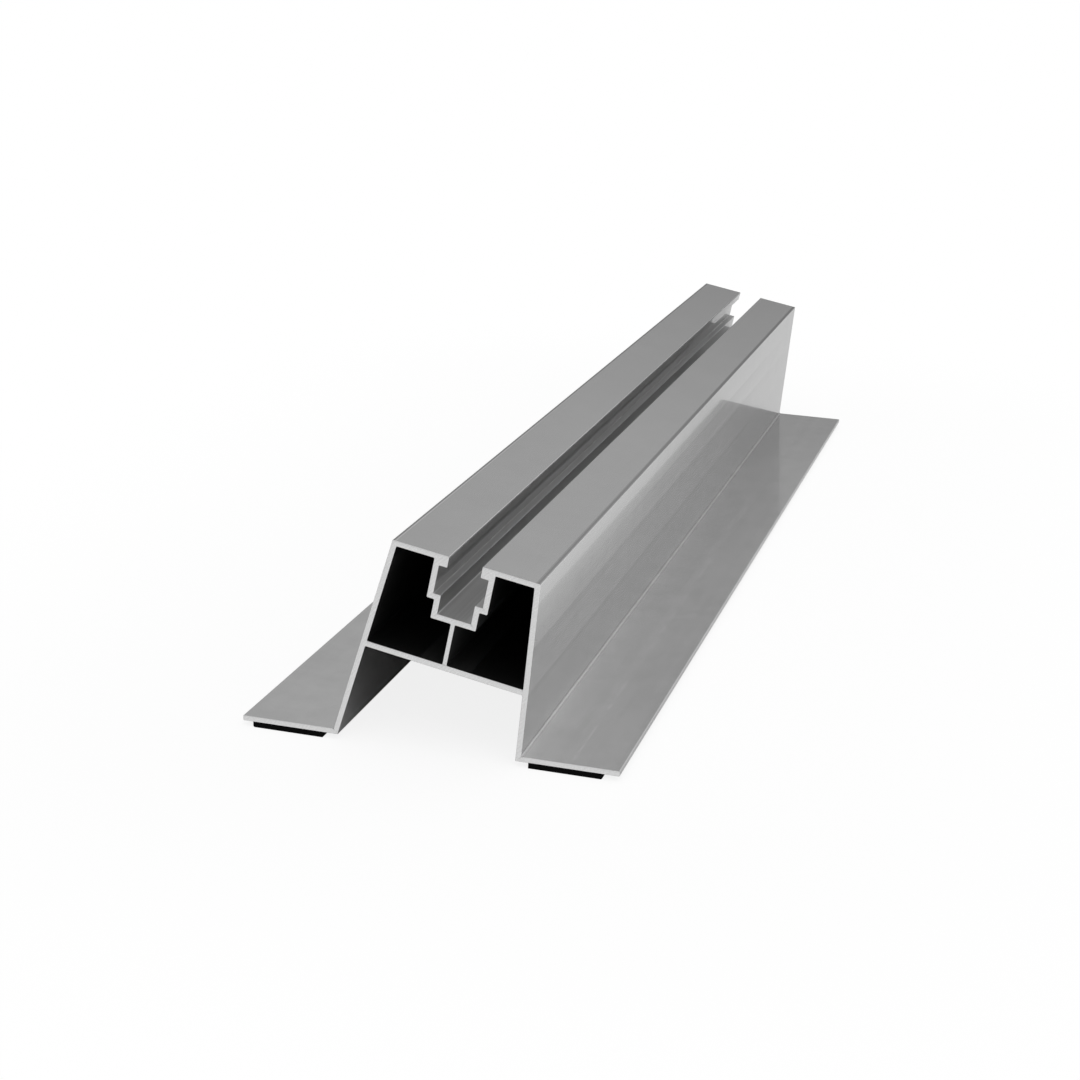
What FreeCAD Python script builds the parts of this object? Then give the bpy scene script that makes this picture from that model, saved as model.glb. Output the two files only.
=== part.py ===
import FreeCAD, Part
import math
import os
import Sketcher

# Solar mini rail: a short aluminium extrusion with two feet, a crown that is tilted to them,
# a bolt slot in the crown, two hollow chambers, and a rubber strip under each foot.
# X runs across the rail, Y along it and Z up. The origin is on the ground, in the middle.

# Driving sizes, in millimetres, with angles in degrees
SIZES = {
    "rail_length": 400.0,
    "crown_width": 40.0,
    "crown_tilt": 10.0,
    "crown_reach": 53.0,
    "crown_wall": 1.5,
    "leg_flare": 6.0,
    "leg_wall": 1.5,
    "mouth_width": 9.0,
    "lip_depth": 3.1,
    "head_width": 13.4,
    "head_depth": 10.75,
    "shank_width": 9.2,
    "shank_depth": 15.95,
    "slot_wall": 1.6,
    "rib_wall": 1.2,
    "web_depth": 29.0,
    "web_wall": 1.6,
    "feet_span": 103.6,
    "foot_wall": 1.5,
    "outer_radius": 0.3,
    "slot_radius": 0.2,
    "chamber_radius": 0.3,
    "root_radius": 0.5,
    "strip_width": 20.0,
    "strip_thickness": 1.5,
    "strip_margin_left": 2.8,
    "strip_margin_right": 4.4,
    "strip_radius": 0.5,
}

LEFT = -1
RIGHT = 1
NEAR = 0.01

# Slopes, as they stand in the expressions of the sketches
FLARE = "tan(dims.leg_flare * 1 deg)"
TILT = "tan(dims.crown_tilt * 1 deg)"
COS_TILT = "cos(dims.crown_tilt * 1 deg)"
LEG_INSET = "(dims.leg_wall / cos(dims.leg_flare * 1 deg))"

doc = FreeCAD.newDocument("solar_mini_rail")


def add_sheet():
    """Write the driving sizes to a spreadsheet, each in a cell with its own alias."""
    sheet = doc.addObject("Spreadsheet::Sheet", "dims")
    for row, (alias, value) in enumerate(SIZES.items(), start=1):
        sheet.set(f"A{row}", alias)
        sheet.set(f"B{row}", str(value))
        sheet.setAlias(f"B{row}", alias)
    doc.recompute()


def add_body(label):
    """Add a body whose label is the name of its file."""
    body = doc.addObject("PartDesign::Body", label)
    body.Label = label
    return body


def add_section_sketch(body, name, lift, turn="0"):
    """Attach a sketch to the plane across the rail, lifted off the ground and turned in it."""
    plane = [p for p in body.Origin.OriginFeatures if p.Role == "XZ_Plane"][0]
    sketch = body.newObject("Sketcher::SketchObject", name)
    sketch.AttachmentSupport = [(plane, "")]
    sketch.MapMode = "FlatFace"
    sketch.setExpression("AttachmentOffset.Base.y", f"({lift}) * 1 mm")
    sketch.setExpression("AttachmentOffset.Rotation.Angle", f"({turn}) * 1 deg")
    return sketch


def add_loop(sketch, corners):
    """Draw a closed loop of lines, with two expressions for each corner: its place across and up."""
    first = sketch.GeometryCount
    count = len(corners)
    rough = Part.makeCircle(1.0).discretize(Number=count + 1)
    for start, end in zip(rough, rough[1:]):
        sketch.addGeometry(Part.LineSegment(start, end), False)
    for index, (across, up) in enumerate(corners):
        line = first + index
        before = first + (index - 1) % count
        sketch.addConstraint(Sketcher.Constraint("Coincident", before, 2, line, 1))
        for axis, value in (("DistanceX", across), ("DistanceY", up)):
            pin = sketch.addConstraint(Sketcher.Constraint(axis, -1, 1, line, 1, 1.0))
            sketch.setExpression(f"Constraints[{pin}]", f"({value}) * 1 mm")


def add_length(body, name, sketch):
    """Extrude a sketch along the whole rail, half of it to each side of the middle."""
    pad = body.newObject("PartDesign::Pad", name)
    pad.Profile = sketch
    pad.SideType = "Symmetric"
    pad.setExpression("Length", "dims.rail_length * 1 mm")
    doc.recompute()


def add_rounds(body, name, radius, wanted):
    """Round the edges along the rail whose corner in the end face is wanted."""
    base = body.Tip
    half = SIZES["rail_length"] / 2
    end = [f for f in base.Shape.Faces if abs(f.CenterOfMass.y + half) < NEAR][0]
    edges = []
    for wire in end.Wires:
        inner = not wire.isSame(end.OuterWire)
        corners = [v.Point for v in wire.Vertexes if wanted(v.Point, inner)]
        for index, edge in enumerate(base.Shape.Edges, start=1):
            across = edge.BoundBox.YLength < 2 * half - NEAR
            if not across and any(edge.distToShape(Part.Vertex(c))[0] < NEAR for c in corners):
                edges.append(f"Edge{index}")
    fillet = body.newObject("PartDesign::Fillet", name)
    fillet.Base = (base, edges)
    fillet.setExpression("Radius", f"dims.{radius} * 1 mm")
    doc.recompute()


def leg_at_depth(side, inset, depth):
    """Place across the crown of a leg's face, at a depth below the crown's top."""
    return f"({side} * (dims.crown_width / 2 - {inset} + ({depth}) * {FLARE}))"


def leg_at_height(side, inset, height):
    """Place across the crown of a leg's face, at a height above the underside of the feet."""
    reach = f"(dims.crown_reach - {height} / {COS_TILT})"
    return (
        f"({side} * (dims.crown_width / 2 - {inset} + {reach} * {FLARE})"
        f" / (1 + {side} * {FLARE} * {TILT}))"
    )


def below_top(depth):
    """Place along the slot's axis of a depth below the crown's top."""
    return f"(dims.crown_reach - ({depth}))"


def slot_corners(side):
    """Corners of one side of the bolt slot: mouth, lip, room for the head, ledge and floor."""
    mouth = f"({side} * dims.mouth_width / 2)"
    head = f"({side} * dims.head_width / 2)"
    shank = f"({side} * dims.shank_width / 2)"
    return [
        (mouth, below_top("0")),
        (mouth, below_top("dims.lip_depth")),
        (head, below_top("dims.lip_depth")),
        (head, below_top("dims.head_depth")),
        (shank, below_top("dims.head_depth")),
        (shank, below_top("dims.shank_depth")),
    ]


def leg_corners(side):
    """Corners of one leg: crown edge, two at the underside of the feet, and one under the web."""
    under_web = "dims.web_depth + dims.web_wall"
    outer = leg_at_height(side, "0", "0")
    inner = leg_at_height(side, LEG_INSET, "0")
    return [
        (leg_at_depth(side, "0", "0"), below_top("0")),
        (outer, f"{outer} * {TILT}"),
        (inner, f"{inner} * {TILT}"),
        (leg_at_depth(side, LEG_INSET, under_web), below_top(under_web)),
    ]


def chamber_corners(side):
    """Corners of the hollow between a leg, the crown, the slot, the rib and the web."""
    beside_head = f"({side} * (dims.head_width / 2 + dims.slot_wall))"
    beside_shank = f"({side} * (dims.shank_width / 2 + dims.slot_wall))"
    beside_rib = f"({side} * dims.rib_wall / 2)"
    under_head = below_top("dims.head_depth + dims.slot_wall")
    under_floor = below_top("dims.shank_depth + dims.slot_wall")
    return [
        (leg_at_depth(side, LEG_INSET, "dims.crown_wall"), below_top("dims.crown_wall")),
        (beside_head, below_top("dims.crown_wall")),
        (beside_head, under_head),
        (beside_shank, under_head),
        (beside_shank, under_floor),
        (beside_rib, under_floor),
        (beside_rib, below_top("dims.web_depth")),
        (leg_at_depth(side, LEG_INSET, "dims.web_depth"), below_top("dims.web_depth")),
    ]


def foot_corners(side):
    """Corners of a foot, from its free end to the middle of the leg's wall."""
    tip = f"({side} * dims.feet_span / 2)"
    seat = [
        f"({leg_at_height(side, LEG_INSET + ' / 2', height)} / {COS_TILT} + {height} * {TILT})"
        for height in ("0", "dims.foot_wall")
    ]
    return [(tip, "0"), (seat[0], "0"), (seat[1], "dims.foot_wall"), (tip, "dims.foot_wall")]


def crown_place(point):
    """Turn a point of the end face into its place across the crown and below its top."""
    tilt = math.radians(SIZES["crown_tilt"])
    height = point.z - SIZES["strip_thickness"]
    across = point.x * math.cos(tilt) - height * math.sin(tilt)
    depth = SIZES["crown_reach"] - point.x * math.sin(tilt) - height * math.cos(tilt)
    return across, depth


def in_slot(point, inner):
    """Say whether a corner is one of the bolt slot's."""
    across, depth = crown_place(point)
    reaches = abs(across) < SIZES["head_width"] / 2 + NEAR
    return not inner and reaches and depth < SIZES["shank_depth"] + NEAR


def on_crown_edge(point, inner):
    """Say whether a corner is where the crown meets a leg outside."""
    across, depth = crown_place(point)
    return not inner and depth < NEAR and abs(across) > SIZES["crown_width"] / 2 - NEAR


def in_hollow(point, inner):
    """Say whether a corner is in a chamber, or in the hollow between the legs."""
    depth = crown_place(point)[1]
    return inner or abs(depth - SIZES["web_depth"] - SIZES["web_wall"]) < NEAR


def on_foot_tip(point, inner):
    """Say whether a corner is at the free end of a foot."""
    return abs(point.x) > SIZES["feet_span"] / 2 - NEAR


def on_foot_root(point, inner):
    """Say whether a corner is where a foot meets its leg outside."""
    top = SIZES["strip_thickness"] + SIZES["foot_wall"]
    return not inner and abs(point.z - top) < NEAR and not on_foot_tip(point, inner)


def on_outer_ground(point, inner):
    """Say whether a corner is on the ground, at a strip's side nearer to a foot's free end."""
    reach = SIZES["feet_span"] / 2 - SIZES["strip_width"]
    return point.z < NEAR and abs(point.x) > reach


def add_rail():
    """Build the extrusion: crown, legs, chambers and slot in one section, then the feet."""
    rail = add_body("rail_extrusion")
    section = add_section_sketch(rail, "crown_section", "dims.strip_thickness", "-dims.crown_tilt")
    outline = slot_corners(LEFT)[::-1] + leg_corners(LEFT) + leg_corners(RIGHT)[::-1]
    add_loop(section, outline + slot_corners(RIGHT))
    for side in (LEFT, RIGHT):
        add_loop(section, chamber_corners(side))
    add_length(rail, "crown_and_legs", section)
    add_rounds(rail, "hollow_rounds", "chamber_radius", in_hollow)
    add_rounds(rail, "slot_rounds", "slot_radius", in_slot)
    add_rounds(rail, "crown_edge_rounds", "outer_radius", on_crown_edge)
    feet = add_section_sketch(rail, "feet_section", "dims.strip_thickness")
    for side in (LEFT, RIGHT):
        add_loop(feet, foot_corners(side))
    add_length(rail, "feet", feet)
    add_rounds(rail, "foot_tip_rounds", "outer_radius", on_foot_tip)
    add_rounds(rail, "foot_root_rounds", "root_radius", on_foot_root)
    return rail


def add_strip(label, side, margin):
    """Build a rubber strip that lies flat under a foot, a margin in from the foot's free end."""
    strip = add_body(label)
    outer = f"({side} * (dims.feet_span / 2 - dims.{margin}))"
    inner = f"({side} * (dims.feet_span / 2 - dims.{margin} - dims.strip_width))"
    section = add_section_sketch(strip, f"{label}_section", "0")
    thickness = "dims.strip_thickness"
    add_loop(section, [(outer, "0"), (inner, "0"), (inner, thickness), (outer, thickness)])
    add_length(strip, f"{label}_length", section)
    add_rounds(strip, f"{label}_round", "strip_radius", on_outer_ground)
    return strip


def check_document(bodies):
    """Stop if any feature failed, or a body isn't one valid solid."""
    for item in doc.Objects:
        if "Invalid" in item.State or "Error" in item.State:
            raise RuntimeError(f"{item.Label} failed: {item.State}")
    for body in bodies:
        shape = body.Shape
        if shape.isNull() or not shape.isValid() or len(shape.Solids) != 1:
            raise RuntimeError(f"{body.Label} is not one valid solid")


def main():
    """Build every piece, check it and write one file for each."""
    add_sheet()
    bodies = [
        add_rail(),
        add_strip("left_rubber_strip", LEFT, "strip_margin_left"),
        add_strip("right_rubber_strip", RIGHT, "strip_margin_right"),
    ]
    doc.recompute()
    check_document(bodies)
    os.makedirs("parts", exist_ok=True)
    for body in bodies:
        body.Shape.exportStep(f"parts/{body.Label}.step")
        print(body.Label, round(body.Shape.Volume, 1), body.Shape.BoundBox)


main()
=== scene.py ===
import math
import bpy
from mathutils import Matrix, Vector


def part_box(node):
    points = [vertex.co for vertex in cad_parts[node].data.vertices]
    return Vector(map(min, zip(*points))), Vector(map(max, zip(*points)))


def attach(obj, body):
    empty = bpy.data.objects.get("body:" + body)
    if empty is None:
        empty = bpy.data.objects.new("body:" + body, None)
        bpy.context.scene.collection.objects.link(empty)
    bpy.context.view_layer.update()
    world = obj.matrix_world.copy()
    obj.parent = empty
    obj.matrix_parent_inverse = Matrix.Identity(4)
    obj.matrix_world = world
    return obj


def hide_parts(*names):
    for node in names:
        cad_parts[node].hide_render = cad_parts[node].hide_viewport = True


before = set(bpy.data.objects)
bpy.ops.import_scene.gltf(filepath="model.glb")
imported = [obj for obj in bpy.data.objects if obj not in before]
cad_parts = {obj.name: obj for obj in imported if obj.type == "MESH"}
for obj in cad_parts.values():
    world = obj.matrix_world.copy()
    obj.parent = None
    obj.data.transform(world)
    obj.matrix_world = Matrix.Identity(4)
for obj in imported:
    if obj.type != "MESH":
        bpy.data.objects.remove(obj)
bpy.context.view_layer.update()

from types import SimpleNamespace

import bmesh
import bpy
from mathutils import Vector

bl_info = {
    "name": "Solar mini rail",
    "version": (1, 0, 0),
    "blender": (4, 5, 0),
    "location": "View3D > Sidebar > Mini rail",
    "description": "Finishes a short solar mini rail of mill aluminium with its two rubber strips",
    "category": "Object",
}

# Names of the CAD pieces, with the strips that stand for two of them, and of the body
BODY = "root"
RAIL = "rail_extrusion"
STRIPS = {"left_rubber_strip": "left_foam_strip", "right_rubber_strip": "right_foam_strip"}

MM = 0.001

# Points that lie closer together than this are one point
MERGE = 0.000002

# Measures of the CAD model: its box, the reach of its feet, half its length
FOOT_TIP, HALF_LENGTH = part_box(RAIL)[1].xy

# Height just above the top of the feet
FOOT_TOP = 3.2 * MM

# The tunnel between the legs: its reach from the middle, its top, and how shut in it is, which
# sets its painted shade
TUNNEL_REACH, TUNNEL_TOP, TUNNEL_SHADE = 25.2 * MM, 32.0 * MM, 0.4

# Depths below the crown: where its top ends, its slot begins, and the slot's lips lie
TOP_DEPTH = 0.15 * MM
SLOT_DEPTH = 0.06 * MM
LIP_DEPTHS = (0.02 * MM, 0.45 * MM)

# Half widths of the lines that run along the rail: painted shade on the crown edges and in the
# roots, a die line on the foot, and a painted highlight in the slot's corner
LEFT_EDGE_LINE, RIGHT_EDGE_LINE = 0.9 * MM, 1.4 * MM
LEFT_ROOT_LINE, RIGHT_ROOT_LINE = 0.45 * MM, 0.5 * MM
FOOT_LINE, SLOT_GLINT_REACH = 0.35 * MM, 0.3 * MM

# Steps in the tone of the legs: depth below the crown in millimetres, and grey
BAND_STEPS = ((0.0, 0.5), (9.0, 1.0), (9.6, 0.0), (17.0, 1.0), (17.6, 0.0),
              (29.6, 1.0), (30.2, 0.0), (47.0, 0.8))

# How far the steps waver, and where along the half length they grow faint, and how faint
STEP_WAVER = 0.8 * MM
STEPS_FADE, STEPS_LEFT = (0.4, 0.75), 0.3

# How far the die's broad bands, its narrow lines and their waver run before they change
BROAD_RUN, NARROW_RUN, WAVER_RUN = 0.9, 0.25, 0.03

# Depths below the crown over which the painted reflection on a leg fades, and over which the
# painted shade in the slot grows dark
SHEEN_DEPTHS = (2.5 * MM, 20.0 * MM)
DARK_DEPTH, DARK_AT_TOP = 9.0 * MM, 0.25

# How the painted shade on the right foot grows from root to tip, and how much the painted shade in
# the roots grows at the far end
FOOT_SHARES = (0.7, 1.7)
FAR_ROOT = 1.5

# Pieces a metre in a broken line, and the noise at which a piece starts and is whole
LINE_PIECES, LINE_SHOWN = 90.0, (0.46, 0.58)

# Scales of the clouds, the mottle and the fine grain in the metal, and depth of its relief
CLOUD, MOTTLE, GRAIN = 28.0, 130.0, 2600.0
METAL_RELIEF = 0.006 * MM

# Scales of the rubber's pores and grain, depth of its relief, and its least tone and roughness
PORES, RUBBER_GRAIN = 2200.0, 900.0
RUBBER_RELIEF = 0.08 * MM
RUBBER_TONE, RUBBER_ROUGH = 0.6, 0.75

# Where the middle of the saw's disc lay, and how closely its arcs follow one another
SAW_CENTRE = (0.16, 0.0, -0.13)
SAW_ARCS = 3200.0

# Shares in the metal's tone, among them a painted reflection on the legs, painted shade on the
# crown edges and in the hollows, and a painted highlight in the slot
BROAD_TONE, NARROW_TONE, MOTTLE_TONE, CLOUD_TONE = 0.06, 0.02, 0.16, 0.09
LEG_SHEEN, STREAK_TONE, EDGE_SHADE, HOLLOW_SHADE = 0.1, 0.35, 0.6, 0.88
FOOT_LINE_TONE, SLOT_GLINT_TONE = 0.10, 0.5
ARC_TONE, GRAIN_TONE = 0.24, 0.36

# Shares in the metal's roughness
BROAD_GLOSS, NARROW_GLOSS, ARC_GLOSS = 0.05, 0.02, 0.10
SHUT_IN_GLOSS, DULLED_GLOSS = 0.25, 0.35

# The room: its light from the horizon up to the zenith, and how much it leans to the right
ROOM_LEVELS = ((0.0, 0.21), (0.2, 0.47), (0.3, 0.69), (0.42, 0.53), (1.0, 0.7))
ROOM_LEAN = 0.3
GLOW_REACH = (0.86, 0.985)

# The floor: where it turns white away from the rail, and how many sides it has
FLOOR_WHITENS = (0.01, 0.20)
FLOOR_SIDES = 96

# The lamp: how wide it spreads and how it is turned, in degrees
LAMP_SPREAD = 60.0
LAMP_TURN = (18.0, 12.0, 0.0)

# How many waves a metre the strips' cut sides have
TAPE_WAVES = 60.0


class RailLook(bpy.types.PropertyGroup):
    """Sizes and colours of the aluminium."""

    deburr: bpy.props.FloatProperty(
        name="Deburred edge", description="Width of the edge broken round each saw cut",
        default=0.1 * MM, unit="LENGTH")
    metal: bpy.props.FloatVectorProperty(
        name="Mill finish", description="Colour of the pressed faces",
        default=(0.79, 0.79, 0.79), subtype="COLOR")
    graze: bpy.props.FloatVectorProperty(
        name="Grazing tint", description="Colour that the metal tends to at a grazing angle",
        default=(0.34, 0.34, 0.34), subtype="COLOR")
    cut_metal: bpy.props.FloatVectorProperty(
        name="Saw cut", description="Colour of the sawn ends",
        default=(0.68, 0.68, 0.68), subtype="COLOR")
    gloss: bpy.props.FloatProperty(
        name="Mill roughness", description="Mean roughness of the pressed faces",
        default=0.22, subtype="FACTOR")
    cut_gloss: bpy.props.FloatProperty(
        name="Cut roughness", description="Mean roughness of the sawn ends",
        default=0.42, subtype="FACTOR")
    coat: bpy.props.FloatProperty(
        name="Sheen coat", description="Share of a thin clear film on the metal",
        default=0.62, subtype="FACTOR")
    coat_gloss: bpy.props.FloatProperty(
        name="Film roughness", description="Roughness of the clear film",
        default=0.04, subtype="FACTOR")
    band: bpy.props.FloatProperty(
        name="Band", description="Spacing of the soft bands along the rail",
        default=3.2 * MM, unit="LENGTH")
    band_tone: bpy.props.FloatProperty(
        name="Band tone", description="How much lighter and darker the bands are", default=0.17)
    band_depth: bpy.props.FloatProperty(
        name="Band depth", description="How far below the crown the bands reach",
        default=48.0 * MM, unit="LENGTH")
    leg_reach: bpy.props.FloatProperty(
        name="Leg reach", description="How far the legs are from the middle of the crown",
        default=19.0 * MM, unit="LENGTH")
    # A painted reflection: the top of a leg is painted brighter by the near end
    painted_sheen: bpy.props.FloatProperty(
        name="Polish", description="How much brighter the top of a leg is by the near end",
        default=0.36)
    calm: bpy.props.FloatProperty(
        name="Calm share", description="Share of the bands that the crown and slot show",
        default=0.3, subtype="FACTOR")
    left_edge: bpy.props.FloatVectorProperty(
        name="Left crown edge", description="Where the crown's left edge runs along the rail",
        default=(-10.49 * MM, 0.0, 57.13 * MM), subtype="TRANSLATION")
    right_edge: bpy.props.FloatVectorProperty(
        name="Right crown edge", description="Where the crown's right edge runs along the rail",
        default=(28.90 * MM, 0.0, 50.22 * MM), subtype="TRANSLATION")
    left_root: bpy.props.FloatVectorProperty(
        name="Left root", description="Where the left foot meets its leg",
        default=(-26.13 * MM, 0.0, 3.07 * MM), subtype="TRANSLATION")
    right_root: bpy.props.FloatVectorProperty(
        name="Right root", description="Where the right foot meets its leg",
        default=(25.70 * MM, 0.0, 3.08 * MM), subtype="TRANSLATION")
    # Painted shade in the roots and on the slot lips
    root_shade: bpy.props.FloatProperty(
        name="Root tone", description="How much darker the metal is in the roots and slot lips",
        default=0.2, subtype="FACTOR")
    # Painted shade on the right foot, darker by the near end
    foot_shade: bpy.props.FloatProperty(
        name="Foot tone", description="How much darker the right foot is by the near end",
        default=0.14, subtype="FACTOR")
    foot_line: bpy.props.FloatVectorProperty(
        name="Foot line", description="Where a faint die line runs along the right foot",
        default=(38.8 * MM, 0.0, 3.0 * MM), subtype="TRANSLATION")
    # The slot line is a painted highlight on the round where the slot's floor meets its left wall
    slot_glint: bpy.props.FloatVectorProperty(
        name="Slot line", description="Where a faint die line runs along the slot's floor",
        default=(1.95 * MM, 0.0, 38.85 * MM), subtype="TRANSLATION")
    slot_reach: bpy.props.FloatProperty(
        name="Slot reach", description="How far the slot reaches to each side of its middle",
        default=7.0 * MM, unit="LENGTH")
    # Painted shade inside the slot, darker further down
    slot_shade: bpy.props.FloatProperty(
        name="Slot tone", description="How much darker the metal is inside the slot",
        default=0.28, subtype="FACTOR")


class StripLook(bpy.types.PropertyGroup):
    """Sizes and colours of the rubber strips."""

    waver: bpy.props.FloatProperty(
        name="Waver", description="How far in the strip's cut sides waver", default=0.25 * MM,
        unit="LENGTH")
    stations: bpy.props.IntProperty(
        name="Stations", description="Sections along the strip", default=161)
    rubber: bpy.props.FloatVectorProperty(
        name="Rubber", description="Colour of the rubber", default=(0.0025, 0.0025, 0.0025),
        subtype="COLOR")


class StageLook(bpy.types.PropertyGroup):
    """Floor, light and camera round the rail."""

    floor_radius: bpy.props.FloatProperty(
        name="Floor radius", description="Radius of the floor", default=14.0, unit="LENGTH")
    floor: bpy.props.FloatVectorProperty(
        name="Floor", description="Colour of the floor", default=(0.92, 0.92, 0.92),
        subtype="COLOR")
    beside: bpy.props.FloatProperty(
        name="White beside", description="Share of plain white seen in the floor by the rail",
        default=0.85, subtype="FACTOR")
    contact: bpy.props.FloatProperty(
        name="Contact shadow", description="How far the rail's shadow shows in its own sides",
        default=2.5 * MM, unit="LENGTH")
    lamp: bpy.props.FloatProperty(
        name="Lamp", description="Strength of the broad lamp overhead", default=1.2)
    glow: bpy.props.FloatProperty(
        name="Glow", description="Strength of the soft light behind the rail", default=0.42)
    glow_way: bpy.props.FloatVectorProperty(
        name="Glow direction", description="Where the soft light comes from",
        default=(0.46, 0.80, 0.375), subtype="DIRECTION")
    white_band: bpy.props.FloatProperty(
        name="White band", description="Height of the white band over the horizon, as a sine",
        default=0.06)
    lens: bpy.props.FloatProperty(
        name="Lens", description="Focal length of the camera on a 36 mm frame", default=68.36)
    eye: bpy.props.FloatVectorProperty(
        name="Camera place", description="Where the camera stands",
        default=(0.155846, -0.669224, 0.214301), subtype="TRANSLATION")
    aim: bpy.props.FloatVectorProperty(
        name="Camera angles", description="How the camera is turned, in degrees",
        default=(72.5755, -2.2002, 15.8994))


LOOKS = {"mini_rail": RailLook, "mini_strips": StripLook, "mini_stage": StageLook}


class Wire:
    """An output socket of a node, on which arithmetic adds Math nodes."""

    def __init__(self, bench, socket):
        self.bench = bench
        self.socket = socket

    def math(self, operation, *values):
        """Add a Math node on some values."""
        return self.bench.add("ShaderNodeMath", {"operation": operation}, dict(enumerate(values)))

    def __add__(self, other):
        return self.math("ADD", self, other)

    __radd__ = __add__

    def __sub__(self, other):
        return self.math("SUBTRACT", self, other)

    def __rsub__(self, other):
        return self.math("SUBTRACT", other, self)

    def __mul__(self, other):
        return self.math("MULTIPLY", self, other)

    __rmul__ = __mul__

    def __gt__(self, other):
        return self.math("GREATER_THAN", self, other)

    def __lt__(self, other):
        return self.math("LESS_THAN", self, other)

    def __abs__(self):
        return self.math("ABSOLUTE", self)

    def larger(self, other):
        """The larger of two values."""
        return self.math("MAXIMUM", self, other)

    def smaller(self, other):
        """The smaller of two values."""
        return self.math("MINIMUM", self, other)

    def sign(self):
        """-1, 0 or 1, by the value's sign."""
        return self.math("SIGN", self)

    def output(self, name):
        """Another output of the same node."""
        return Wire(self.bench, self.socket.node.outputs[name])


class Bench:
    """A node tree, to which one method adds every kind of node."""

    def __init__(self, tree):
        self.tree = tree

    def add(self, kind, settings=None, sockets=None):
        """Add a node, set its settings, feed its sockets and return its first live output."""
        node = self.tree.nodes.new(kind)
        for name, value in (settings or {}).items():
            if name == "stops":
                self.set_stops(node.color_ramp, value)
            else:
                setattr(node, name, value)
        for name, value in (sockets or {}).items():
            self.feed(node.inputs[name], value)
        live = [socket for socket in node.outputs if socket.enabled]
        return Wire(self, live[0]) if live else node

    def feed(self, socket, value):
        """Link one wire or several to a socket, or set the socket's own value."""
        wires = value if isinstance(value, list) else [value]
        for wire in wires:
            if isinstance(wire, Wire):
                self.tree.links.new(wire.socket, socket)
            else:
                socket.default_value = wire

    @staticmethod
    def set_stops(ramp, stops):
        """Give a colour ramp its stops, as pairs of a place and a grey."""
        while len(ramp.elements) < len(stops):
            ramp.elements.new(1.0)
        for element, (place, grey) in zip(ramp.elements, stops):
            element.position = place
            element.color = (grey, grey, grey, 1.0)


def new_material(name):
    """Make a node material and return it with its bench and shader."""
    material = bpy.data.materials.new(name)
    material.use_nodes = True
    return material, Bench(material.node_tree), material.node_tree.nodes["Principled BSDF"]


def opaque(colour):
    """A colour with full alpha."""
    return (*colour, 1.0)


def fade(bench, value, start, end, first=0.0, last=1.0, smooth=True):
    """A number that goes from first to last while a value goes from start to end."""
    kind = "SMOOTHSTEP" if smooth else "LINEAR"
    return bench.add("ShaderNodeMapRange", {"interpolation_type": kind}, {
        "Value": value, "From Min": start, "From Max": end, "To Min": first, "To Max": last})


def speckle(bench, place, scale):
    """Even noise, from -0.5 to 0.5."""
    return bench.add("ShaderNodeTexNoise", sockets={"Vector": place, "Scale": scale}) - 0.5


def lines_along(bench, place, across, along, detail):
    """Noise that runs in lines along the rail, from -0.5 to 0.5."""
    scaled = bench.add("ShaderNodeMapping", sockets={
        "Vector": place, "Scale": (1 / across, 1 / along, 1 / across)})
    return bench.add("ShaderNodeTexNoise", sockets={
        "Vector": scaled, "Scale": 1.0, "Detail": detail, "Roughness": 0.55}) - 0.5


def beside_line(bench, place, line, reach):
    """1 on a line along the rail, falling to 0 at a distance from it."""
    offset = bench.add("ShaderNodeVectorMath", {"operation": "SUBTRACT"}, {0: place, 1: line})
    across = bench.add("ShaderNodeVectorMath", {"operation": "MULTIPLY"}, {
        0: offset, 1: (1.0, 0.0, 1.0)})
    distance = bench.add("ShaderNodeVectorMath", {"operation": "LENGTH"}, {0: across})
    return fade(bench, distance, reach / 2, reach, 1.0, 0.0)


def broken_line(bench, place, along, line, reach):
    """A thin line along the rail that comes and goes."""
    pieces = bench.add("ShaderNodeTexNoise", {"noise_dimensions": "1D"}, {
        "W": along + line[0], "Scale": LINE_PIECES, "Detail": 2.0})
    return beside_line(bench, place, line, reach) * fade(bench, pieces, *LINE_SHOWN)


def crown_place(bench, place, look):
    """Place across the crown, from the middle of its top, and below that top."""
    left, right = Vector(look.left_edge), Vector(look.right_edge)
    side = (right - left).normalized()
    offset = bench.add("ShaderNodeVectorMath", {"operation": "SUBTRACT"}, {
        0: place, 1: (left + right) / 2})
    down = (side.z, 0.0, -side.x)
    return [
        bench.add("ShaderNodeVectorMath", {"operation": "DOT_PRODUCT"}, {0: offset, 1: way})
        for way in (side, down)
    ]


def scaled_colour(bench, colour, factor):
    """A colour made lighter or darker by a factor."""
    return bench.add("ShaderNodeVectorMath", {"operation": "SCALE"}, {0: colour, "Scale": factor})


def rail_zones(bench, place, look):
    """Masks of the zones in which the metal looks different, some of them for painted shade, and
    places along and below.
    """
    parts = bench.add("ShaderNodeSeparateXYZ", sockets={0: place})
    along, height = parts.output("Y"), parts.output("Z")
    across, below = crown_place(bench, place, look)
    by_slot = abs(across) < look.slot_reach
    top = below < TOP_DEPTH
    calm = by_slot.larger(top)
    outwards = fade(bench, parts, look.right_root[0], FOOT_TIP, *FOOT_SHARES, smooth=False)
    return SimpleNamespace(
        along=along,
        below=below,
        cut=abs(along) > HALF_LENGTH - look.deburr / 2,
        near=fade(bench, along, -HALF_LENGTH, HALF_LENGTH / 3, 1.0, 0.0),
        top=top,
        slot=by_slot * (below > SLOT_DEPTH),
        lip=by_slot * (below > LIP_DEPTHS[0]) * (below < LIP_DEPTHS[1]),
        lively=1.0 - calm * (1.0 - look.calm),
        root=(beside_line(bench, place, look.left_root, LEFT_ROOT_LINE)
              + beside_line(bench, place, look.right_root, RIGHT_ROOT_LINE)),
        leg=(abs(across) > look.leg_reach) * (height > FOOT_TOP),
        right_foot=(parts > look.right_root[0]) * (height < FOOT_TOP) * outwards,
        hollow=bench.add("ShaderNodeAttribute", {"attribute_name": "hollow"}).output("Fac"),
    )


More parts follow.
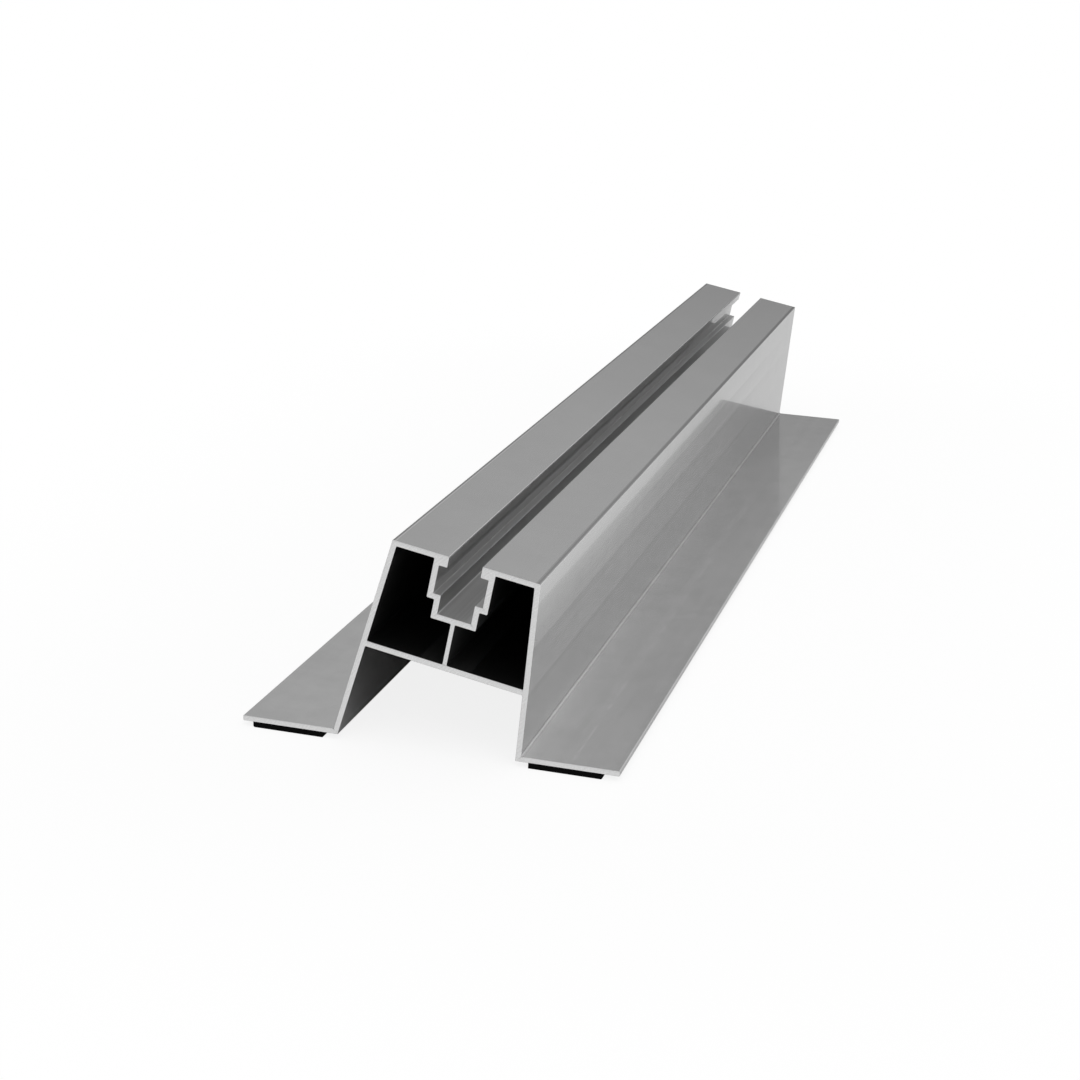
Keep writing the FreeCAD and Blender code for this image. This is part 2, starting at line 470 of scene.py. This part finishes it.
def rail_marks(bench, place, look):
    """What the die, the saw and handling leave on the metal, each from -0.5 to 0.5."""
    reach = bench.add("ShaderNodeVectorMath", {"operation": "DISTANCE"}, {
        0: place, 1: SAW_CENTRE})
    return SimpleNamespace(
        broad=lines_along(bench, place, look.band, BROAD_RUN, 1.0),
        narrow=lines_along(bench, place, look.band / 5, NARROW_RUN, 1.0),
        waver=lines_along(bench, place, look.band * 2, WAVER_RUN, 2.0),
        cloud=speckle(bench, place, CLOUD),
        mottle=speckle(bench, place, MOTTLE),
        grain=speckle(bench, place, GRAIN),
        arcs=bench.add("ShaderNodeTexNoise", {"noise_dimensions": "1D"}, {
            "W": reach * SAW_ARCS, "Scale": 1.0, "Detail": 2.0}) - 0.5,
    )


def side_tone(bench, place, look, zones, marks):
    """How light the pressed faces are, as a share of the metal's colour, with painted highlights
    and painted shade.
    """
    steps = bench.add("ShaderNodeValToRGB", {"stops": [
        (depth * MM / look.band_depth, grey) for depth, grey in BAND_STEPS]}, {
        0: (zones.below + marks.waver * STEP_WAVER) * (1 / look.band_depth)}) - 0.5
    begin, finish = (share * HALF_LENGTH for share in STEPS_FADE)
    plainer = fade(bench, zones.along, begin, finish, 1.0, STEPS_LEFT)
    bands = (steps * plainer * look.band_tone + marks.broad * BROAD_TONE
             + marks.narrow * NARROW_TONE + marks.mottle * MOTTLE_TONE)
    streaks = marks.narrow * zones.slot * STREAK_TONE
    # A die line on the right foot, and a painted highlight on the round in the slot's corner
    lines = (broken_line(bench, place, zones.along, look.foot_line, FOOT_LINE) * FOOT_LINE_TONE
             + beside_line(bench, place, look.slot_glint, SLOT_GLINT_REACH) * SLOT_GLINT_TONE)
    upper = fade(bench, zones.below, *SHEEN_DEPTHS, 1.0, 0.0)
    # Painted reflection: the legs are painted lighter by the near end, most near their tops
    painted_leg_sheen = zones.leg * zones.near * (upper * look.painted_sheen + LEG_SHEEN)
    # Painted shade along the crown's rounded edges
    edges = (beside_line(bench, place, look.right_edge, RIGHT_EDGE_LINE) * zones.top
             + beside_line(bench, place, look.left_edge, LEFT_EDGE_LINE))
    deeper = fade(bench, zones.below, 0.0, DARK_DEPTH, DARK_AT_TOP, 1.0, smooth=False)
    # Painted shade on the crown edges, in the roots and on the slot lips, deeper in the slot, and
    # on the right foot
    painted_shade = (edges * EDGE_SHADE
            + (zones.root * (FAR_ROOT - zones.near) + zones.lip) * look.root_shade
            + zones.slot * deeper * look.slot_shade
            + zones.right_foot * zones.near * look.foot_shade)
    lit = 1.0 + bands * zones.lively + marks.cloud * CLOUD_TONE + streaks + lines + painted_leg_sheen
    # Painted shade in the chambers and, less, in the tunnel between the legs
    return lit * (1.0 - painted_shade) * (1.0 - zones.hollow * HOLLOW_SHADE)


def mill_aluminium(look):
    """Pressed aluminium with faint lines along its length, painted highlights and shade, and
    rougher sawn ends.
    """
    material, bench, shader = new_material("mill_aluminium")
    place = bench.add("ShaderNodeTexCoord").output("Object")
    zones = rail_zones(bench, place, look)
    marks = rail_marks(bench, place, look)
    pressed = 1.0 - zones.cut
    dulled = zones.root + zones.lip
    sides = scaled_colour(bench, look.metal, side_tone(bench, place, look, zones, marks))
    ends = scaled_colour(
        bench, look.cut_metal, 1.0 + marks.arcs * ARC_TONE + marks.grain * GRAIN_TONE)
    colour = bench.add("ShaderNodeMix", {"data_type": "VECTOR"}, {
        "Factor": zones.cut, 4: sides, 5: ends})
    lines = marks.broad * BROAD_GLOSS + marks.narrow * NARROW_GLOSS
    side_gloss = (look.gloss + lines * zones.lively
                  + (zones.slot + zones.hollow) * SHUT_IN_GLOSS + dulled * DULLED_GLOSS)
    end_gloss = look.cut_gloss + marks.arcs * ARC_GLOSS
    relief = ((marks.narrow + marks.broad) * zones.lively * pressed
              + (marks.arcs + marks.grain) * zones.cut)
    bump = bench.add("ShaderNodeBump", sockets={
        "Height": relief, "Strength": 1.0, "Distance": METAL_RELIEF})
    bench.feed(shader.inputs["Base Color"], colour)
    bench.feed(shader.inputs["Roughness"], side_gloss * pressed + end_gloss * zones.cut)
    bench.feed(shader.inputs["Normal"], bump)
    bench.feed(shader.inputs["Coat Weight"],
               look.coat * pressed * (1.0 - zones.hollow) * (1.0 - dulled))
    shader.inputs["Metallic"].default_value = 1.0
    shader.inputs["Coat Roughness"].default_value = look.coat_gloss
    shader.inputs["Specular Tint"].default_value = opaque(look.graze)
    return material


def black_rubber(look):
    """Matt closed-cell rubber with fine pores."""
    material, bench, shader = new_material("black_rubber")
    place = bench.add("ShaderNodeTexCoord").output("Object")
    pores = bench.add("ShaderNodeTexVoronoi", sockets={"Vector": place, "Scale": PORES})
    grain = bench.add("ShaderNodeTexNoise", sockets={"Vector": place, "Scale": RUBBER_GRAIN})
    bump = bench.add("ShaderNodeBump", sockets={
        "Height": pores + grain, "Strength": 0.5, "Distance": RUBBER_RELIEF})
    tone = RUBBER_TONE + grain * 0.8
    bench.feed(shader.inputs["Base Color"], scaled_colour(bench, look.rubber, tone))
    bench.feed(shader.inputs["Roughness"], RUBBER_ROUGH + grain * 0.2)
    bench.feed(shader.inputs["Normal"], bump)
    shader.inputs["Specular IOR Level"].default_value = 0.05
    return material


def end_loops(node):
    """Closed loops round a CAD node's near end face, as places across and up.

    The material lies on the left of each loop's way round.
    """
    copy = bmesh.new()
    copy.from_mesh(node.data)
    bmesh.ops.remove_doubles(copy, verts=copy.verts, dist=MERGE)
    near = min(vert.co.y for vert in copy.verts) + MERGE
    cap = [face for face in copy.faces if all(vert.co.y < near for vert in face.verts)]
    in_cap = set(cap)
    rim = {}
    for face in cap:
        for corner in face.loops:
            if len(in_cap.intersection(corner.edge.link_faces)) == 1:
                rim[corner.vert] = corner.link_loop_next.vert
    loops = []
    while rim:
        start, here = rim.popitem()
        loop = [start]
        while here is not start:
            loop.append(here)
            here = rim.pop(here)
        loops.append([Vector((vert.co.x, vert.co.z, 0.0)) for vert in loop])
    copy.free()
    return loops


def section_mesh(node):
    """Flat mesh of a CAD node's section, with two attributes of its points.

    One is the way into the material. The other is how shut in the wall is: 1 in a chamber,
    and less in the tunnel between the legs.
    """
    points, edges, inward, hollow = [], [], [], []
    loops = end_loops(node)
    outer = max(loops, key=lambda loop: max(point.x for point in loop))
    for loop in loops:
        first = len(points)
        for index, here in enumerate(loop):
            in_tunnel = abs(here.x) < TUNNEL_REACH and here.y < TUNNEL_TOP
            hollow.append(1.0 if loop is not outer else TUNNEL_SHADE * in_tunnel)
            after = loop[(index + 1) % len(loop)]
            into = (here - loop[index - 1]).normalized()
            out = (after - here).normalized()
            left = Vector((-into.y - out.y, into.x + out.x, 0.0))
            points.append(here)
            inward.append(left / (1 + into.dot(out)))
            edges.append((first + index, first + (index + 1) % len(loop)))
    mesh = bpy.data.meshes.new(f"{node.name}_section")
    mesh.from_pydata(points, edges, [])
    way = mesh.attributes.new("inward", "FLOAT_VECTOR", "POINT")
    way.data.foreach_set("vector", [part for vector in inward for part in vector])
    inside = mesh.attributes.new("hollow", "FLOAT", "POINT")
    inside.data.foreach_set("value", hollow)
    return mesh


def new_tree(name, inputs):
    """Start a geometry tree with named inputs, and return its bench and its group input."""
    tree = bpy.data.node_groups.new(name, "GeometryNodeTree")
    for way in ("INPUT", "OUTPUT"):
        tree.interface.new_socket("Geometry", in_out=way, socket_type="NodeSocketGeometry")
    for label, kind in inputs.items():
        tree.interface.new_socket(label, in_out="INPUT", socket_type=f"NodeSocket{kind}")
    bench = Bench(tree)
    return bench, bench.add("NodeGroupInput")


def close_tree(bench, shape, material):
    """Stand a tree's shape upright, and end the tree in Realize Instances and Set Material.

    The section lies flat, so a quarter turn brings its height upright and its length along Y.
    """
    whole = bench.add("GeometryNodeMergeByDistance", sockets={
        "Geometry": shape, "Distance": MERGE})
    whole = bench.add("GeometryNodeTransform", sockets={
        "Geometry": whole, "Rotation": (math.pi / 2, 0.0, 0.0)})
    whole = bench.add("GeometryNodeSetShadeSmooth", sockets={"Geometry": whole})
    real = bench.add("GeometryNodeRealizeInstances", sockets={0: whole})
    done = bench.add("GeometryNodeSetMaterial", sockets={"Geometry": real, "Material": material})
    bench.add("NodeGroupOutput", sockets={0: done})
    return bench.tree


def end_places(bench, half):
    """Places of the two ends of a length, whose section lies flat."""
    return [bench.add("ShaderNodeCombineXYZ", sockets={"Z": half * side}) for side in (-1.0, 1.0)]


def extrusion_tree(material):
    """Tree that extrudes a flat section, breaks the edges of its ends and caps it."""
    bench, given = new_tree("extrusion", {"Half length": "Float", "Deburr": "Float"})
    half, deburr = given.output("Half length"), given.output("Deburr")
    inward = bench.add("GeometryNodeInputNamedAttribute", {"data_type": "FLOAT_VECTOR"}, {
        "Name": "inward"})
    inset = bench.add("ShaderNodeVectorMath", {"operation": "SCALE"}, {
        0: inward, "Scale": deburr})
    smaller = bench.add("GeometryNodeSetPosition", sockets={
        "Geometry": given.output("Geometry"), "Offset": inset})
    rim = bench.add("GeometryNodeMeshToCurve", sockets={"Mesh": smaller})
    cap = bench.add("GeometryNodeFillCurve", {"mode": "TRIANGLES"}, {"Curve": rim})
    ends = end_places(bench, half)
    caps = [
        bench.add("GeometryNodeTransform", sockets={"Geometry": cap, "Translation": end})
        for end in ends
    ]
    shape = bench.add("GeometryNodeTransform", sockets={
        "Geometry": given.output("Geometry"), "Translation": ends[0]})
    top = True
    for rise in (deburr, (half - deburr) * 2.0, deburr):
        step = bench.add("ShaderNodeCombineXYZ", sockets={"Z": rise})
        shape = bench.add("GeometryNodeExtrudeMesh", {"mode": "EDGES"}, {
            "Mesh": shape, "Selection": top, "Offset": step, "Offset Scale": 1.0})
        top = shape.output("Top")
    place = bench.add("GeometryNodeInputPosition")
    height = bench.add("ShaderNodeSeparateXYZ", sockets={0: place}).output("Z")
    shape = bench.add("GeometryNodeSetPosition", sockets={
        "Geometry": shape, "Selection": abs(height) > half - deburr * 0.5, "Offset": inset})
    whole = bench.add("GeometryNodeJoinGeometry", sockets={0: [shape, *caps]})
    return close_tree(bench, whole, material)


def tape_tree(material):
    """Tree that lays a flat section along a line as a cut tape, whose sides waver inwards."""
    bench, given = new_tree("cut_tape", {
        "Half length": "Float", "Middle": "Float", "Waver": "Float", "Stations": "Int"})
    start, end = end_places(bench, given.output("Half length"))
    path = bench.add("GeometryNodeCurvePrimitiveLine", sockets={"Start": start, "End": end})
    path = bench.add("GeometryNodeResampleCurve", sockets={
        "Curve": path, "Count": given.output("Stations")})
    section = bench.add("GeometryNodeMeshToCurve", sockets={"Mesh": given.output("Geometry")})
    shape = bench.add("GeometryNodeCurveToMesh", sockets={
        "Curve": path, "Profile Curve": section, "Fill Caps": True})
    place = bench.add("GeometryNodeInputPosition")
    parts = bench.add("ShaderNodeSeparateXYZ", sockets={0: place})
    offset = parts - given.output("Middle")
    side = offset.sign()
    where = bench.add("ShaderNodeCombineXYZ", sockets={
        "X": side, "Z": parts.output("Z") * TAPE_WAVES})
    noise = bench.add("ShaderNodeTexNoise", sockets={
        "Vector": where, "Scale": 1.0, "Detail": 2.0})
    slide = bench.add("ShaderNodeCombineXYZ", sockets={
        "X": side * noise * given.output("Waver") * -1.0})
    shape = bench.add("GeometryNodeSetPosition", sockets={"Geometry": shape, "Offset": slide})
    return close_tree(bench, shape, material)


def make_piece(name, node_name, tree, values):
    """Run a tree on a CAD node's section, and let the closed result stand for the node."""
    source = bpy.data.objects.new(f"{name}_source", section_mesh(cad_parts[node_name]))
    bpy.context.scene.collection.objects.link(source)
    modifier = source.modifiers.new("shape", "NODES")
    modifier.node_group = tree
    for item in tree.interface.items_tree:
        if item.in_out == "INPUT" and item.name in values:
            modifier[item.identifier] = values[item.name]
    evaluated = source.evaluated_get(bpy.context.evaluated_depsgraph_get())
    mesh = bpy.data.meshes.new_from_object(evaluated)
    bpy.data.objects.remove(source)
    work = bmesh.new()
    work.from_mesh(mesh)
    bmesh.ops.recalc_face_normals(work, faces=work.faces)
    if not work.faces or any(not edge.is_manifold for edge in work.edges):
        raise RuntimeError(f"{name} is not closed")
    work.to_mesh(mesh)
    work.free()
    piece = bpy.data.objects.new(name, mesh)
    bpy.context.scene.collection.objects.link(piece)
    shading = piece.modifiers.new("flat_faces", "WEIGHTED_NORMAL")
    shading.weight = 100
    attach(piece, BODY)
    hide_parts(node_name)


class MINIRAIL_OT_rail(bpy.types.Operator):
    """Make the finished extrusion from the CAD rail's section"""

    bl_idname = "minirail.rail"
    bl_label = "Make the rail"

    def execute(self, context):
        look = context.scene.mini_rail
        tree = extrusion_tree(mill_aluminium(look))
        values = {"Half length": HALF_LENGTH, "Deburr": look.deburr}
        make_piece("mill_rail", RAIL, tree, values)
        return {"FINISHED"}


class MINIRAIL_OT_strips(bpy.types.Operator):
    """Make the rubber strips under the feet, from the CAD strips' sections"""

    bl_idname = "minirail.strips"
    bl_label = "Make the rubber strips"

    def execute(self, context):
        look = context.scene.mini_strips
        tree = tape_tree(black_rubber(look))
        for node_name, name in STRIPS.items():
            low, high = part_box(node_name)
            values = {"Half length": high.y, "Middle": (low.x + high.x) / 2,
                      "Waver": look.waver, "Stations": look.stations}
            make_piece(name, node_name, tree, values)
        return {"FINISHED"}


class MINIRAIL_OT_stage(bpy.types.Operator):
    """Set up the floor, the light and the camera"""

    bl_idname = "minirail.stage"
    bl_label = "Set up the stage"

    def execute(self, context):
        look = context.scene.mini_stage
        self.add_floor(look)
        self.light_room(look)
        self.add_lamp(look)
        self.add_camera(context, look)
        return {"FINISHED"}

    def add_floor(self, look):
        """Lay a pale floor under the strips, which turns plain white away from the rail."""
        material, bench, shader = new_material("pale_floor")
        shader.inputs["Base Color"].default_value = opaque(look.floor)
        shader.inputs["Roughness"].default_value = 1.0
        shader.inputs["Specular IOR Level"].default_value = 0.0
        place = bench.add("ShaderNodeTexCoord").output("Object")
        parts = bench.add("ShaderNodeSeparateXYZ", sockets={0: place})
        beside = (abs(parts) - FOOT_TIP).larger(0.0)
        beyond = (abs(parts.output("Y")) - HALF_LENGTH).larger(0.0)
        away = bench.add("ShaderNodeVectorMath", {"operation": "LENGTH"}, {
            0: bench.add("ShaderNodeCombineXYZ", sockets={"X": beside, "Y": beyond})})
        far = fade(bench, away, *FLOOR_WHITENS, look.beside, 1.0)
        clear = fade(bench, away, 0.0, look.contact)
        rays = bench.add("ShaderNodeLightPath")
        mirrored = rays.output("Is Glossy Ray") + rays.output("Is Transmission Ray")
        seen = (rays + mirrored * clear).smaller(1.0)
        white = bench.add("ShaderNodeEmission", sockets={"Strength": 1.0})
        mixed = bench.add("ShaderNodeMixShader", sockets={
            "Fac": far * seen, 1: Wire(bench, shader.outputs["BSDF"]), 2: white})
        bench.feed(material.node_tree.nodes["Material Output"].inputs["Surface"], mixed)
        mesh = bpy.data.meshes.new("floor")
        work = bmesh.new()
        bmesh.ops.create_circle(
            work, cap_ends=True, segments=FLOOR_SIDES, radius=look.floor_radius)
        work.to_mesh(mesh)
        work.free()
        mesh.materials.append(material)
        floor = bpy.data.objects.new("floor", mesh)
        bpy.context.scene.collection.objects.link(floor)

    def light_room(self, look):
        """Light the room softly from above, with a glow behind and a white horizon."""
        world = bpy.data.worlds.new("soft_room")
        world.use_nodes = True
        bpy.context.scene.world = world
        bench = Bench(world.node_tree)
        way = bench.add("ShaderNodeTexCoord").output("Generated")
        parts = bench.add("ShaderNodeSeparateXYZ", sockets={0: way})
        level = bench.add("ShaderNodeValToRGB", {"stops": ROOM_LEVELS}, {0: parts.output("Z")})
        facing = bench.add("ShaderNodeVectorMath", {"operation": "DOT_PRODUCT"}, {
            0: way, 1: Vector(look.glow_way).normalized()})
        glow = fade(bench, facing, *GLOW_REACH)
        lit = level * (1.0 + parts * ROOM_LEAN) + look.glow * glow
        low = fade(bench, abs(parts.output("Z")), look.white_band / 3, look.white_band, 1.0, 0.0)
        rays = bench.add("ShaderNodeLightPath")
        seen = rays + rays.output("Is Glossy Ray") + rays.output("Is Transmission Ray")
        white = low * seen.smaller(1.0)
        sky = world.node_tree.nodes["Background"]
        sky.inputs["Color"].default_value = opaque((1.0, 1.0, 1.0))
        bench.feed(sky.inputs["Strength"], lit * (1.0 - white) + white)

    def add_lamp(self, look):
        """Hang one broad lamp overhead, which no metal mirrors."""
        lamp = bpy.data.lights.new("broad_lamp", "SUN")
        lamp.energy = look.lamp
        lamp.angle = math.radians(LAMP_SPREAD)
        above = bpy.data.objects.new("broad_lamp", lamp)
        above.rotation_euler = [math.radians(angle) for angle in LAMP_TURN]
        above.visible_glossy = False
        bpy.context.scene.collection.objects.link(above)

    def add_camera(self, context, look):
        """Stand the camera where the photograph was taken from."""
        camera = bpy.data.objects.new("camera", bpy.data.cameras.new("camera"))
        camera.data.lens = look.lens
        camera.location = look.eye
        camera.rotation_euler = [math.radians(angle) for angle in look.aim]
        context.scene.collection.objects.link(camera)
        context.scene.camera = camera


OPERATORS = (MINIRAIL_OT_rail, MINIRAIL_OT_strips, MINIRAIL_OT_stage)


class MINIRAIL_PT_panel(bpy.types.Panel):
    """Sizes and colours of the rail, its strips and its stage, each with its button"""

    bl_label = "Mini rail"
    bl_space_type = "VIEW_3D"
    bl_region_type = "UI"
    bl_category = "Mini rail"

    def draw(self, context):
        for name, operator in zip(LOOKS, OPERATORS):
            box = self.layout.box()
            for size in LOOKS[name].__annotations__:
                box.prop(getattr(context.scene, name), size)
            box.operator(operator.bl_idname)


def register():
    for item in (*LOOKS.values(), *OPERATORS, MINIRAIL_PT_panel):
        bpy.utils.register_class(item)
    for name, look in LOOKS.items():
        setattr(bpy.types.Scene, name, bpy.props.PointerProperty(type=look))


def unregister():
    for name in LOOKS:
        delattr(bpy.types.Scene, name)
    for item in (MINIRAIL_PT_panel, *reversed(OPERATORS), *reversed(list(LOOKS.values()))):
        bpy.utils.unregister_class(item)


def main():
    """Build the rail and its stage."""
    register()
    bpy.context.scene.view_settings.view_transform = "Standard"
    bpy.ops.minirail.rail()
    bpy.ops.minirail.strips()
    bpy.ops.minirail.stage()


if __name__ == "__main__":
    main()
